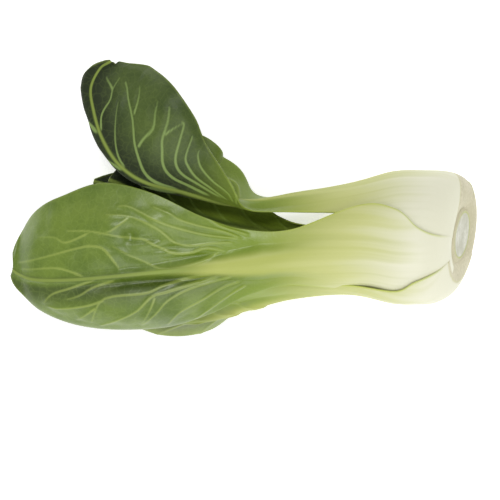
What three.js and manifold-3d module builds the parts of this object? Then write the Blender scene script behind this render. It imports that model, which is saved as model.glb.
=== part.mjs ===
// A head of green-stemmed bok choy, picked, trimmed at the root and laid on its side.
// Millimetres, +Z up, the cut root end towards +X and the leaf tips towards -X.
// The head stands on z = 0. Each leaf is one solid: a thick pale stalk that clasps the head,
// running out into a thin green blade with a midrib and side veins.
import * as THREE from "three";
import { mergeVertices } from "three/addons/utils/BufferGeometryUtils.js";
import Module from "manifold-3d";

const wasm = await Module();
wasm.setup();

// Driving dimensions of the head: the axis of its bulb, the bulb's size, and the knife's cut across it.
const HEAD_Y = -15.5;
const HEAD_Z = 27.9;
const BULB_RADIUS = 28.5;
const BASE_X = 92.2;
const CUT_X = 91.5;
const CUT_RADIUS = 9;
const CUT_LEAN = { y: -0.14, z: 0.34 };
const LEAN_FROM_X = 58;

// What all the leaves share.
const BLADE_THICK = 0.9;
const CREASE_WIDTH = 5;
const RIB_REACH = 0.62;
const MIN_HALF = 0.5;
const SIDE_PHASE = 1.7;
const CLEARANCE = 0.35;

// How finely the surface is worked out: steps across a half leaf, and the slopes' small steps.
const CURVE_STEPS = 12;
const SLOPE_T = 0.002;
const SLOPE_V = 0.02;
const DEGREE = Math.PI / 180;

// The stem's core as a turned profile: radius and x.
const CORE = [
  [0, 72], [12, 72], [17, 74.8], [20, 81.5], [17, 87.5],
  [CUT_RADIUS + 0.6, CUT_X - 0.4], [CUT_RADIUS, CUT_X], [0, CUT_X],
];

// How much of a rib stands out on the back, and of the margin's wave, at each station past the bulb.
const PROUD = [0, 0.35, 0.8, 0.85];
const WAVE_SHARE = [0, 0, 0.3, 0.8, 1];

// A stalk's back from the root end forward: its distance behind BASE_X, its radius as a share of the
// bulb's, how far it has opened from its clasp at the base to its full span, and its thickness and rib
// width as shares of the leaf's.
const STALK = [
  { behind: 2.2, radius: 0.375, open: 0, thick: 0.25, rib: 0.5 },
  { behind: 0.5, radius: 0.54, open: 0, thick: 0.42, rib: 0.55 },
  { behind: 0.7, radius: 0.71, open: 0.02, thick: 0.6, rib: 0.65 },
  { behind: 3.6, radius: 0.88, open: 0.06, thick: 0.8, rib: 0.8 },
  { behind: 9.5, radius: 0.98, open: 0.14, thick: 0.95, rib: 0.95 },
  { behind: 18, radius: 1.0, open: 0.3, thick: 1.0, rib: 1.0 },
  { behind: 30, radius: 0.985, open: 0.68, thick: 1.0, rib: 1.0 },
];

// Each leaf: turn is where its stalk sits round the head, in degrees from straight up towards +Y, layer
// its distance from the axis as a share of the bulb's, clasp and span how far it reaches round the head
// at its base and at the bulb, and inset how far it starts ahead of BASE_X.
// A station reads: the midrib's place, the way the back faces, then for the side towards the growing turn
// and the side towards the falling turn the half width, the crease at the midrib, the curl and the sweep
// towards the tip, and last the thickness and the rib's half width.
const LEAVES = [
  {
    name: "leaf_front", turn: -26, layer: 1.0, clasp: [26, 18], span: [60, 46], inset: 0,
    thick: 7, rib: 17, rows: 32,
    wave: { height: 1.1, count: 5, phase: 0.4 },
    stations: [
      [47, -26, 51,  0, -0.42, 0.9,  24, 18.5,  0, 0,  56, 46,  0, 0,  6, 12],
      [20, -26.5, 45,  0, -0.32, 0.95,  13.5, 13,  0, 0,  34, 36,  0, 0,  5, 9.5],
      [0, -28, 42,  0, -0.22, 0.97,  15, 15,  -6, -6,  30, 44,  0, 0,  4.2, 7.5],
      [-16, -29.3, 40.5,  0, -0.16, 0.98,  22, 22.5,  -16, -14,  30, 62,  0, 0,  3.6, 5.5],
      [-36, -31, 39,  0, -0.12, 0.99,  34.1, 30,  -24, -22,  44, 88,  0, 0,  2.9, 4],
      [-56, -33, 36.5,  -0.1, -0.1, 0.99,  40.2, 30,  -20, -20,  44, 92,  0, 0,  2.2, 3],
      [-74, -34.5, 32,  -0.3, -0.1, 0.94,  36.2, 25,  -14, -12,  40, 76,  3, 0,  1.7, 2.4],
      [-89, -34.5, 25.5,  -0.5, -0.05, 0.86,  30.5, 15,  -8, -6,  30, 50,  4, 0,  1.3, 2],
      [-95.8, -32.4, 20.2,  -0.6, 0, 0.8,  18.5, 7.5,  0, 0,  16, 20,  25, -10,  1.1, 2],
      [-99, -30.4, 17.8,  -0.6, 0, 0.8,  7.5, 2.8,  0, 0,  4, 2,  28, 0,  1, 2],
    ],
  },
  {
    name: "leaf_side", turn: 62, layer: 0.955, clasp: [50, 58], span: [54, 48], inset: 0,
    thick: 6.5, rib: 16, rows: 34,
    wave: { height: 1.3, count: 6, phase: 1.2 },
    stations: [
      [44, 4.4, 36,  0, 0.9, 0.45,  16.5, 16,  0, 0,  44, 44,  0, 0,  5.5, 10],
      [22, 0.6, 34,  0.05, 0.9, 0.42,  11, 10.5,  0, 0,  40, 30,  0, 0,  4.8, 8],
      [4, -3.2, 34.5,  0.1, 0.95, 0.25,  12.5, 8,  -10, 0,  4, 4,  -8, 4,  4.2, 6.5],
      [-10, -1.4, 36,  0.2, 0.8, -0.35,  22.5, 16.5,  -80, 14,  -14, -34,  -28, -6,  3.6, 5],
      [-25, 2.6, 38,  0.3, 0.45, -0.8,  29, 24,  -142, 26,  -6, -46,  -16, -8,  3.2, 4],
      [-41, 6.5, 40,  0.3, 0.25, -0.92,  31, 36.5,  -146, 30,  -8, -52,  0, -11,  2.8, 3.4],
      [-52.2, 13.6, 42,  0.2, 0.1, -0.97,  31, 41.5,  -142, 28,  -8, -50,  10, 8,  2.4, 3],
      [-59.6, 24.5, 43.5,  0, 0, -1,  27, 36.8,  -132, 24,  -10, -46,  14, 26,  2, 2.6],
      [-63.4, 36.3, 43.5,  -0.1, 0.1, -0.97,  15, 29.4,  -112, 18,  -12, -36,  16, 28,  1.6, 2.2],
      [-64.6, 45.8, 42.5,  -0.15, 0.15, -0.95,  9, 20,  -84, 10,  -12, -20,  16, 40,  1.3, 2],
      [-60.8, 54, 41.5,  -0.15, 0.2, -0.95,  3, 9,  -40, 0,  -6, -6,  10, 54,  1.1, 2],
      [-56.2, 57, 41,  -0.15, 0.2, -0.95,  0.8, 1.5,  0, 0,  0, 0,  0, 40,  1, 2],
    ],
  },
  {
    name: "leaf_lower", turn: -106, layer: 1.045, clasp: [60, 44], span: [56, 46], inset: 0,
    thick: 6.5, rib: 15, rows: 28,
    wave: { height: 1.0, count: 5, phase: 2.1 },
    stations: [
      [44, -41, 21,  0, -0.98, -0.2,  18, 14,  0, 0,  38, 38,  0, 0,  5.5, 10],
      [20, -41.5, 18.5,  0, -0.98, -0.1,  15, 11,  0, 0,  50, 30,  0, 0,  4.8, 8],
      [0, -45.5, 16.5,  0, -0.97, 0.15,  17, 12,  0, 0,  44, 22,  0, 0,  4, 6],
      [-17, -50.5, 14,  0.05, -0.88, 0.45,  20, 14,  0, -6,  30, 14,  0, 0,  3.2, 4.5],
      [-34, -51, 11.3,  0, -0.75, 0.65,  22, 13,  -4, -4,  26, 22,  0, 0,  2.6, 3.4],
      [-50, -46, 9.6,  -0.1, -0.62, 0.78,  20, 11,  -4, -4,  22, 22,  0, 0,  2, 2.8],
      [-63, -40.5, 8,  -0.15, -0.5, 0.85,  16, 10,  -2, -2,  16, 18,  0, 0,  1.6, 2.2],
      [-72, -36.5, 6.5,  -0.2, -0.45, 0.87,  9, 7,  0, 0,  8, 8,  0, 0,  1.2, 2],
      [-76, -35, 5.8,  -0.2, -0.45, 0.87,  1.5, 1,  0, 0,  0, 0,  0, 0,  1, 2],
    ],
  },
  {
    name: "leaf_under", turn: 155, layer: 1.02, clasp: [50, 38], span: [50, 50], inset: 0,
    thick: 6.5, rib: 15, rows: 28,
    wave: { height: 0.9, count: 5, phase: 3.3 },
    stations: [
      [45, -18.5, 3.6,  0, 0.2, -0.97,  13, 13,  0, 0,  32, 32,  0, 0,  5.5, 10],
      [24, -25.5, 5.5,  0, 0.1, -0.99,  9.5, 10.5,  0, 0,  20, 22,  0, 0,  4.4, 8],
      [4, -24, 5,  0, 0.05, -1,  11, 11,  0, 0,  12, 12,  0, 0,  3.6, 6],
      [-13, -17, 3.8,  0, 0.05, -1,  17, 15,  2, 4,  8, 8,  0, 0,  3, 4.5],
      [-29, -8, 1.8,  0, 0.02, -1,  19, 18.5,  2, 4,  8, 6,  0, 0,  2.4, 3.4],
      [-43, -1, 1.0,  0, 0, -1,  17, 14,  2, 4,  10, 8,  0, 0,  2, 2.8],
      [-54, 4, 2.6,  -0.2, 0, -0.98,  12, 8.5,  2, 4,  10, 8,  0, 0,  1.5, 2.2],
      [-61.5, 6.4, 5.5,  -0.3, 0, -0.95,  5, 4,  2, 2,  6, 6,  0, 0,  1.2, 2],
      [-65, 7.6, 7,  -0.3, 0, -0.95,  1, 1,  0, 0,  0, 0,  0, 0,  1, 2],
    ],
  },
  {
    name: "leaf_inner_upper", turn: 95, layer: 0.62, clasp: [40, 40], span: [60, 62], inset: 17,
    thick: 4, rib: 10, rows: 24,
    wave: { height: 0.9, count: 4, phase: 0.9 },
    stations: [
      [40, -9.5, 26,  0, 0.95, -0.1,  6.5, 8,  0, 0,  30, 30,  0, 0,  3.8, 7],
      [24, -14, 25,  0, 0.75, -0.55,  8, 8,  0, 0,  24, 24,  0, 0,  3.2, 5],
      [8, -14, 22.5,  0, 0.45, -0.9,  12, 11,  0, 0,  12, 6,  0, 0,  2.8, 4],
      [-10, -11, 20.5,  0, 0.3, -0.95,  15, 15,  2, 2,  8, 4,  0, 0,  2.4, 3.4],
      [-28, -4.5, 18.5,  0, 0.2, -0.97,  15, 16,  2, 2,  6, 4,  0, 0,  2, 2.8],
      [-43, 1.5, 18,  -0.05, 0.2, -0.97,  12, 13,  2, 2,  8, 6,  0, 0,  1.6, 2.2],
      [-54, 6.5, 19.5,  -0.1, 0.2, -0.97,  8, 9,  0, 0,  4, 4,  0, 0,  1.2, 2],
      [-58, 8, 20,  -0.1, 0.2, -0.97,  1, 1,  0, 0,  0, 0,  0, 0,  1, 2],
    ],
  },
  {
    name: "leaf_inner_lower", turn: -100, layer: 0.645, clasp: [40, 40], span: [60, 62], inset: 17,
    thick: 4, rib: 10, rows: 22,
    wave: { height: 0.8, count: 4, phase: 1.9 },
    stations: [
      [40, -31, 22,  0, -0.9, -0.42,  9, 7,  0, 0,  36, 36,  0, 0,  3.8, 7],
      [22, -31.5, 18,  0, -0.62, -0.78,  9, 8,  0, 0,  24, 18,  0, 0,  3, 5],
      [4, -32, 14,  0, -0.3, -0.95,  10, 9,  0, 0,  18, 16,  0, 0,  2.6, 4],
      [-14, -29.5, 13,  0, -0.2, -0.97,  11, 13,  4, 2,  10, 8,  0, 0,  2.2, 3],
      [-32, -27, 13,  0, -0.15, -0.98,  10, 14,  4, 2,  8, 8,  0, 0,  1.8, 2.4],
      [-46, -26, 14.5,  -0.1, -0.1, -0.98,  6, 8,  2, 2,  6, 6,  0, 0,  1.3, 2],
      [-51, -26, 15.5,  -0.1, -0.1, -0.98,  1, 1,  0, 0,  0, 0,  0, 0,  1, 2],
    ],
  },
  {
    name: "leaf_heart_upper", turn: 0, layer: 0.44, clasp: [40, 40], span: [62, 62], inset: 17,
    thick: 3.4, rib: 7, rows: 18,
    wave: { height: 0.5, count: 3, phase: 0.2 },
    stations: [
      [42, -17.5, 38,  0, 0, 1,  8, 8,  0, 0,  42, 42,  0, 0,  3, 5],
      [26, -20, 35.5,  0, 0, 1,  6.5, 6.5,  0, 0,  36, 36,  0, 0,  2.6, 3.6],
      [10, -25, 33.5,  0, 0, 1,  8.5, 8,  0, 0,  34, 34,  0, 0,  2.2, 3],
      [-6, -27, 31.5,  -0.05, 0, 1,  9.5, 9,  0, 0,  34, 34,  0, 0,  1.8, 2.4],
      [-17, -28, 29.5,  -0.1, 0, 1,  5.5, 5.5,  0, 0,  18, 18,  0, 0,  1.3, 2],
      [-21, -28, 28.5,  -0.1, 0, 1,  0.8, 0.8,  0, 0,  0, 0,  0, 0,  1, 2],
    ],
  },
  {
    name: "leaf_heart_lower", turn: 180, layer: 0.385, clasp: [40, 40], span: [60, 60], inset: 20,
    thick: 3, rib: 6, rows: 16,
    wave: { height: 0.4, count: 3, phase: 2.2 },
    stations: [
      [42, -20.5, 19.5,  0, 0, -1,  7, 7,  0, 0,  40, 40,  0, 0,  2.8, 4.5],
      [28, -24.5, 22,  0, 0, -1,  4.5, 4.5,  0, 0,  28, 28,  0, 0,  2.4, 3.2],
      [14, -27, 23.2,  0, 0, -1,  5, 5,  0, 0,  26, 26,  0, 0,  2, 2.6],
      [0, -28.5, 23.8,  0, 0, -1,  5.5, 5.5,  0, 0,  22, 22,  0, 0,  1.6, 2.2],
      [-9, -29, 24,  0, 0, -1,  0.8, 0.8,  0, 0,  0, 0,  0, 0,  1, 2],
    ],
  },
];

// Columns across a leaf, from one margin over the midrib to the other, as shares of the half width.
const COLUMNS = [-1, -0.86, -0.7, -0.53, -0.37, -0.23, -0.1, 0, 0.1, 0.23, 0.37, 0.53, 0.7, 0.86, 1];
const INNER_COLUMNS = [-1, -0.75, -0.5, -0.28, -0.11, 0, 0.11, 0.28, 0.5, 0.75, 1];

const smooth = (a, b, x) => THREE.MathUtils.smoothstep(x, a, b);

// Every station of a leaf from the root end to the tip: first those of the stalk's back, which lie on a
// bulb of revolution round the head's axis, then the leaf's own.
function stationsOf(leaf) {
  const radius = BULB_RADIUS * leaf.layer;
  const out = [0, Math.sin(leaf.turn * DEGREE), Math.cos(leaf.turn * DEGREE)];
  const stalk = STALK.slice(0, leaf.inset ? -1 : undefined).map((s) => {
    const r = radius * s.radius;
    const span = leaf.span.map((full, side) => leaf.clasp[side] + (full - leaf.clasp[side]) * s.open);
    return {
      at: [BASE_X - leaf.inset - s.behind, HEAD_Y + r * out[1], HEAD_Z + r * out[2]],
      back: out,
      heading: [-1, 0, 0],
      half: span.map((angle) => r * angle * DEGREE),
      crease: [0, 0],
      curl: span.map((angle) => angle * 0.985),
      sweep: [0, 0],
      thick: leaf.thick * s.thick,
      rib: leaf.rib * s.rib,
      proud: 0,
      wave: 0,
    };
  });
  const blade = leaf.stations.map((s, i) => ({
    at: s.slice(0, 3),
    back: s.slice(3, 6),
    half: s.slice(6, 8),
    crease: s.slice(8, 10),
    curl: s.slice(10, 12),
    sweep: s.slice(12, 14),
    thick: s[14],
    rib: s[15],
    proud: PROUD[Math.min(i, PROUD.length - 1)],
    wave: i === leaf.stations.length - 1 ? 0 : WAVE_SHARE[Math.min(i, WAVE_SHARE.length - 1)],
  }));
  const all = [...stalk, ...blade];
  blade.forEach((s, i) => {
    const before = all[stalk.length + i - 1].at;
    const after = all[Math.min(stalk.length + i + 1, all.length - 1)].at;
    s.heading = new THREE.Vector3(...after).sub(new THREE.Vector3(...before)).normalize().toArray();
  });
  return all;
}

// A leaf's tracks: for each measure, its values at all the stations.
function tracksOf(leaf) {
  const all = stationsOf(leaf);
  const each = (key, count) => Array.from({ length: count }, (_, k) => all.map((s) => s[key][k]));
  return {
    at: each("at", 3),
    back: each("back", 3),
    heading: each("heading", 3),
    half: each("half", 2),
    crease: each("crease", 2),
    curl: each("curl", 2),
    sweep: each("sweep", 2),
    thick: all.map((s) => s.thick),
    rib: all.map((s) => s.rib),
    proud: all.map((s) => s.proud),
    wave: all.map((s) => s.wave),
  };
}

// Catmull-Rom through a track's values, evenly spaced in t from 0 to 1.
function along(values, t) {
  const last = values.length - 1;
  const f = Math.min(t * last, last - 1e-9);
  const i = Math.floor(f);
  const k = f - i;
  const [a, b, c, d] = [-1, 0, 1, 2].map((o) => values[Math.min(Math.max(i + o, 0), last)]);
  const square = (2 * a - 5 * b + 4 * c - d) * k * k;
  const cube = (3 * b - a - 3 * c + d) * k ** 3;
  return 0.5 * (2 * b + (c - a) * k + square + cube);
}

const vectorAlong = (tracks, t) => new THREE.Vector3(...tracks.map((track) => along(track, t)));

// The root end leans: its cut face looks partly up, so everything there is sheared along the head.
function leanBack(p) {
  const share = smooth(LEAN_FROM_X, CUT_X, p.x);
  p.x -= share * ((p.z - HEAD_Z) * CUT_LEAN.z + (p.y - HEAD_Y) * CUT_LEAN.y);
  return p;
}

// A point of the leaf's back at t along it and v across it, from -1 to 1. The cross curve starts at the
// midrib, turns by the crease within a few millimetres and then by the curl, evenly, out to the margin.
function backPoint(leaf, t, v) {
  const { tracks, wave } = leaf;
  const side = v < 0 ? 0 : 1;
  const ahead = vectorAlong(tracks.heading, t).normalize();
  const back = vectorAlong(tracks.back, t);
  back.addScaledVector(ahead, -back.dot(ahead)).normalize();
  const across = new THREE.Vector3().crossVectors(back, ahead);
  const half = Math.max(along(tracks.half[side], t), MIN_HALF);
  const crease = along(tracks.crease[side], t) * DEGREE;
  const curl = along(tracks.curl[side], t) * DEGREE;
  const sweep = along(tracks.sweep[side], t) * DEGREE;
  const step = (Math.abs(v) * half) / CURVE_STEPS;
  let out = 0;
  let lift = 0;
  for (let i = 0; i < CURVE_STEPS; i++) {
    const q = (i + 0.5) * step;
    const angle = crease * smooth(0, CREASE_WIDTH, q) + (curl * q) / half;
    out += Math.cos(angle) * step;
    lift -= Math.sin(angle) * step;
  }
  const swing = 2 * Math.PI * wave.count * t + wave.phase + side * SIDE_PHASE;
  lift += wave.height * along(tracks.wave, t) * Math.abs(v) ** 3 * Math.sin(swing);
  const p = vectorAlong(tracks.at, t);
  p.addScaledVector(across, (side ? 1 : -1) * out * Math.cos(sweep));
  p.addScaledVector(ahead, Math.abs(out) * Math.sin(sweep));
  p.addScaledVector(back, lift);
  return leanBack(p);
}

// The back's outward normal, from the surface's own slopes.
function backNormal(leaf, t, v) {
  const before = backPoint(leaf, Math.max(t - SLOPE_T, 0), v);
  const forward = backPoint(leaf, Math.min(t + SLOPE_T, 1), v).sub(before);
  const w = THREE.MathUtils.clamp(v, SLOPE_V - 1, 1 - SLOPE_V);
  const sideways = backPoint(leaf, t, w + SLOPE_V).sub(backPoint(leaf, t, w - SLOPE_V));
  return forward.cross(sideways).normalize();
}

// Thickness at t, v: thin at the margins, thick over the rib.
function thickness(leaf, t, v) {
  const half = Math.max(along(leaf.tracks.half[v < 0 ? 0 : 1], t), MIN_HALF);
  const width = Math.min(along(leaf.tracks.rib, t), RIB_REACH * half);
  const ridge = Math.max(0, 1 - ((Math.abs(v) * half) / width) ** 2.6) ** 1.6;
  return BLADE_THICK + Math.max(0, along(leaf.tracks.thick, t) - BLADE_THICK) * ridge;
}

// A leaf's closed skin: the back, the inner face split into the same triangles, and the rim.
// With grow, the same skin that many millimetres larger all round.
function leafGeometry(leaf, grow = 0) {
  const columns = leaf.inset ? INNER_COLUMNS : COLUMNS;
  const widen = grow ? 1.04 : 1;
  const rows = leaf.rows;
  const points = [];
  for (const face of [0, 1])
    for (let i = 0; i <= rows; i++) {
      const t = i / rows;
      for (const column of columns) {
        const v = column * widen;
        const depth = thickness(leaf, t, v);
        const proud = along(leaf.tracks.proud, t) * (depth - BLADE_THICK);
        const shift = face === 0 ? proud + grow : proud - depth - grow;
        const back = backPoint(leaf, t, v);
        const p = back.clone().addScaledVector(backNormal(leaf, t, v), shift);
        if (i === 0) p.add(back.sub(backPoint(leaf, SLOPE_T, v)).setLength(1.5 * grow));
        points.push(...p.toArray());
      }
    }
  const n = columns.length;
  const sheet = (rows + 1) * n;
  const index = [];
  const quad = (a, b, c, d) => index.push(a, b, c, a, c, d);
  for (let i = 0; i < rows; i++)
    for (let j = 0; j < n - 1; j++) {
      const a = i * n + j;
      index.push(a, a + n + 1, a + 1, a, a + n, a + n + 1);
      quad(a + sheet, a + 1 + sheet, a + n + 1 + sheet, a + n + sheet);
    }
  for (let i = 0; i < rows; i++) {
    const left = i * n;
    const right = left + n - 1;
    quad(left, left + sheet, left + n + sheet, left + n);
    quad(right, right + n, right + n + sheet, right + sheet);
  }
  for (let j = 0; j < n - 1; j++) {
    const tip = rows * n + j;
    quad(j, j + 1, j + 1 + sheet, j + sheet);
    quad(tip, tip + sheet, tip + 1 + sheet, tip + 1);
  }
  const geometry = new THREE.BufferGeometry();
  geometry.setAttribute("position", new THREE.Float32BufferAttribute(points, 3));
  geometry.setIndex(index);
  return geometry;
}

function toSolid(geometry) {
  const bare = new THREE.BufferGeometry();
  bare.setAttribute("position", geometry.getAttribute("position").clone());
  bare.setIndex(geometry.index);
  const merged = mergeVertices(bare, 1e-4);
  return new wasm.Manifold(new wasm.Mesh({
    numProp: 3,
    vertProperties: merged.attributes.position.array,
    triVerts: new Uint32Array(merged.index.array),
  }));
}

function toGeometry(solid) {
  const mesh = solid.getMesh();
  const geometry = new THREE.BufferGeometry();
  geometry.setAttribute("position", new THREE.BufferAttribute(mesh.vertProperties, 3));
  geometry.setIndex(new THREE.BufferAttribute(mesh.triVerts, 1));
  geometry.computeVertexNormals();
  return geometry;
}

// The root stem: a short core that fills the bulb behind the leaves and ends in the knife's cut.
function stemGeometry() {
  const profile = CORE.map(([radius, x]) => new THREE.Vector2(radius, x));
  const geometry = new THREE.LatheGeometry(profile, 32);
  geometry.rotateZ(-Math.PI / 2);
  geometry.translate(0, HEAD_Y, HEAD_Z);
  const place = geometry.attributes.position;
  for (let i = 0; i < place.count; i++) {
    const p = leanBack(new THREE.Vector3().fromBufferAttribute(place, i));
    place.setXYZ(i, p.x, p.y, p.z);
  }
  return geometry;
}

const leafMaterial = new THREE.MeshStandardMaterial({ color: 0x6f8f3a, roughness: 0.45, metalness: 0 });
leafMaterial.name = "leaf";
const stemMaterial = new THREE.MeshStandardMaterial({ color: 0xdfe2c6, roughness: 0.6, metalness: 0 });
stemMaterial.name = "stem";

const head = new THREE.Group();
head.name = "bok_choy";

function place(name, solid, material) {
  const mesh = new THREE.Mesh(toGeometry(solid), material);
  mesh.name = name;
  head.add(mesh);
}

for (const leaf of LEAVES) leaf.tracks = tracksOf(leaf);

// The table trims what would reach under it, which leaves the flats that the head lies on.
for (const leaf of LEAVES)
  place(leaf.name, toSolid(leafGeometry(leaf)).trimByPlane([0, 0, 1], 0), leafMaterial);

// The stem keeps clear of every leaf, and what the leaves cut loose from it is dropped.
const stem = LEAVES.reduce((core, leaf) => core.subtract(toSolid(leafGeometry(leaf, CLEARANCE))),
  toSolid(stemGeometry()));
place("root_stem", stem.decompose().reduce((a, b) => (a.volume() > b.volume() ? a : b)), stemMaterial);

// The origin is on the table under the middle of the head's box.
const middle = new THREE.Box3().setFromObject(head).getCenter(new THREE.Vector3());
for (const mesh of head.children) mesh.geometry.translate(-middle.x, -middle.y, 0);

export default head;
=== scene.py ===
import bpy
import mathutils
import numpy as np
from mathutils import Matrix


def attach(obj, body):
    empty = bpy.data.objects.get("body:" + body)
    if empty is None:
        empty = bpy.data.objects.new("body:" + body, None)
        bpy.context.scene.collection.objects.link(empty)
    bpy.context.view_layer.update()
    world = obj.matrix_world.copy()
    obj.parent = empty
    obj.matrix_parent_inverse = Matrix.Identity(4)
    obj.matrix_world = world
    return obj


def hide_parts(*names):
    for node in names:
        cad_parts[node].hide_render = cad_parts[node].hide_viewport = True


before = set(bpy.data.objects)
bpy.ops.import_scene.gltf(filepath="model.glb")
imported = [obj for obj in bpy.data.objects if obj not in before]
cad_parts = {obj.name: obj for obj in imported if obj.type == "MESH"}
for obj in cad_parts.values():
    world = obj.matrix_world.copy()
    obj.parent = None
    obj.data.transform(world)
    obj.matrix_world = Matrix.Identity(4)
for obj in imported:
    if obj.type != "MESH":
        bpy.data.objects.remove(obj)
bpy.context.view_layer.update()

# The table and the light. The head lies on a bright white table, seen from straight above. A wide soft
# lamp stands half way up on its lower side and a smaller one almost overhead, so shadows are pale.
scene = bpy.context.scene
MM = 0.001
HEAD_SHIFT = np.array([0.436, 0.658, 0.0])
CAMERA_HEIGHT = 1.5
MM_A_PIXEL, PICTURE_SIZE = 0.43, 500
ORIGIN_IN_PICTURE = (245.5, 199)

camera = bpy.data.objects.new("camera", bpy.data.cameras.new("camera"))
scene.collection.objects.link(camera)
scene.camera = camera
camera.location = (
    (PICTURE_SIZE / 2 - ORIGIN_IN_PICTURE[0]) * MM_A_PIXEL * MM + HEAD_SHIFT[0] * MM,
    (ORIGIN_IN_PICTURE[1] - PICTURE_SIZE / 2) * MM_A_PIXEL * MM + HEAD_SHIFT[1] * MM,
    CAMERA_HEIGHT,
)
camera.data.sensor_width = 36
camera.data.lens = 36 / (PICTURE_SIZE * MM_A_PIXEL * MM) * CAMERA_HEIGHT
camera.data.clip_end = 10

sun = bpy.data.objects.new("lamp_key", bpy.data.lights.new("lamp_key", "SUN"))
sun.data.energy = 1.1
sun.data.angle = 0.9
sun.rotation_euler = mathutils.Vector((-0.1, 1.0, -1.05)).to_track_quat("-Z", "Y").to_euler()
scene.collection.objects.link(sun)

glint = bpy.data.objects.new("lamp_top", bpy.data.lights.new("lamp_top", "SUN"))
glint.data.energy = 0.9
glint.data.angle = 0.2
glint.rotation_euler = mathutils.Vector((0.2, -0.5, -1.6)).to_track_quat("-Z", "Y").to_euler()
scene.collection.objects.link(glint)

world = bpy.data.worlds.new("room")
scene.world = world
world.use_nodes = True
sky = world.node_tree.nodes["Background"].inputs
sky["Color"].default_value = (1.0, 1.0, 1.0, 1.0)
sky["Strength"].default_value = 0.5
scene.view_settings.view_transform = "Standard"

floor_mesh = bpy.data.meshes.new("table")
floor_mesh.from_pydata([(-4, -4, 0), (4, -4, 0), (4, 4, 0), (-4, 4, 0)], [], [(0, 1, 2, 3)])
floor = bpy.data.objects.new("table", floor_mesh)
scene.collection.objects.link(floor)
white = bpy.data.materials.new("table_white")
white.use_nodes = True
table_top = white.node_tree.nodes["Principled BSDF"].inputs
table_top["Base Color"].default_value = (0.93, 0.93, 0.93, 1)
table_top["Roughness"].default_value = 0.6
table_top["Emission Color"].default_value = (1, 1, 1, 1)
table_top["Emission Strength"].default_value = 0.5
floor_mesh.materials.append(white)

# The leaf on top. Each leaf grew as one piece: a fleshy, ribbed stalk that wraps the head at its root,
# cream there and green higher up, and runs on as the midrib of a thin, glossy, waved blade. Here the
# back is seen, with its veins standing proud and the blade puckered between them.
BULB_RADIUS, BASE_X, HEAD_Y, HEAD_Z = 28.5, 92.2, -15.5, 27.9
CUT_X, LEAN_FROM_X, CUT_LEAN = 91.5, 58.0, (-0.14, 0.34)
BLADE_THICK, MARGIN_THICK, RIB_REACH, CREASE_WIDTH, SIDE_PHASE = 0.9, 0.5, 0.62, 5.0, 1.7
BULB_CURL, CURVE_STEPS, LOWEST_Z = 0.985, 24, 0.02

# The stalk's back in the bulb, from the root end forward: behind, radius, open, thick, rib.
STALK = np.array([
    [2.2, 0.375, 0, 0.25, 0.5],
    [0.5, 0.54, 0, 0.42, 0.55],
    [0.7, 0.71, 0.02, 0.6, 0.65],
    [3.6, 0.88, 0.06, 0.8, 0.8],
    [9.5, 0.98, 0.14, 0.95, 0.95],
    [18, 1.0, 0.3, 1.0, 1.0],
    [30, 0.985, 0.68, 1.0, 1.0],
])


def along(values, t):
    """Evenly spaced values joined smoothly: between b and c, with a before and d after, half of
    2b + (c-a)k + (2a-5b+4c-d)k2 + (3b-a-3c+d)k3, where k runs from 0 to 1."""
    last = len(values) - 1
    f = np.minimum(np.asarray(t) * last, last - 1e-9)
    i = np.floor(f).astype(int)
    k = (f - i).reshape(f.shape + (1,) * (values.ndim - 1))
    a, b, c, d = (values[np.clip(i + o, 0, last)] for o in (-1, 0, 1, 2))
    bend, twist = 2 * a - 5 * b + 4 * c - d, 3 * b - a - 3 * c + d
    return 0.5 * (2 * b + (c - a) * k + bend * k**2 + twist * k**3)


def ramp(low, high, x):
    """0 below low, 1 above high, and 3u2 - 2u3 between them."""
    u = np.clip((x - low) / (high - low), 0, 1)
    return u * u * (3 - 2 * u)


def unit(vectors):
    """Each vector over its own length."""
    return vectors / np.maximum(np.linalg.norm(vectors, axis=-1, keepdims=True), 1e-12)


def lean_back(p):
    """x less a share, growing from LEAN_FROM_X to CUT_X, of the slope that tips the cut face up."""
    share = ramp(LEAN_FROM_X, CUT_X, p[..., 0])
    p[..., 0] -= share * ((p[..., 2] - HEAD_Z) * CUT_LEAN[1] + (p[..., 1] - HEAD_Y) * CUT_LEAN[0])
    return p


def leaf_stations(turn, layer, clasp, span, inset, thick, rib, own):
    """One row a station, from root to tip: place, back, heading, half widths, creases, curls, sweeps,
    thickness, rib, how proud the rib is, and the share of the margin's wave."""
    stalk = STALK[: -1 if inset else None]
    angle = np.radians(turn)
    out = np.array([0, np.sin(angle), np.cos(angle)])
    r = BULB_RADIUS * layer * stalk[:, 1:2]
    reach = np.array(clasp) + (np.array(span) - np.array(clasp)) * stalk[:, 2:3]
    zero = np.zeros_like(reach)
    place = np.hstack([BASE_X - inset - stalk[:, :1], HEAD_Y + r * out[1], HEAD_Z + r * out[2]])
    root = np.hstack([
        place, np.tile(out, (len(stalk), 1)), np.tile([-1.0, 0, 0], (len(stalk), 1)),
        r * np.radians(reach), zero, reach * BULB_CURL, zero,
        thick * stalk[:, 3:4], rib * stalk[:, 4:5], zero,
    ])
    own = np.array(own, float)
    places = np.vstack([place, own[:, :3], own[-1:, :3]])
    heading = unit(places[len(stalk) + 1 :] - places[len(stalk) - 1 : -2])
    order = np.arange(len(own))
    proud = np.array([0, 0.35, 0.8, 0.85])[np.minimum(order, 3)]
    wave = np.array([0, 0, 0.3, 0.8, 1.0])[np.minimum(order, 4)]
    wave[-1] = 0
    blade = np.hstack([own[:, :6], heading, own[:, 6:], proud[:, None], wave[:, None]])
    return np.vstack([root, blade])


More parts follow.
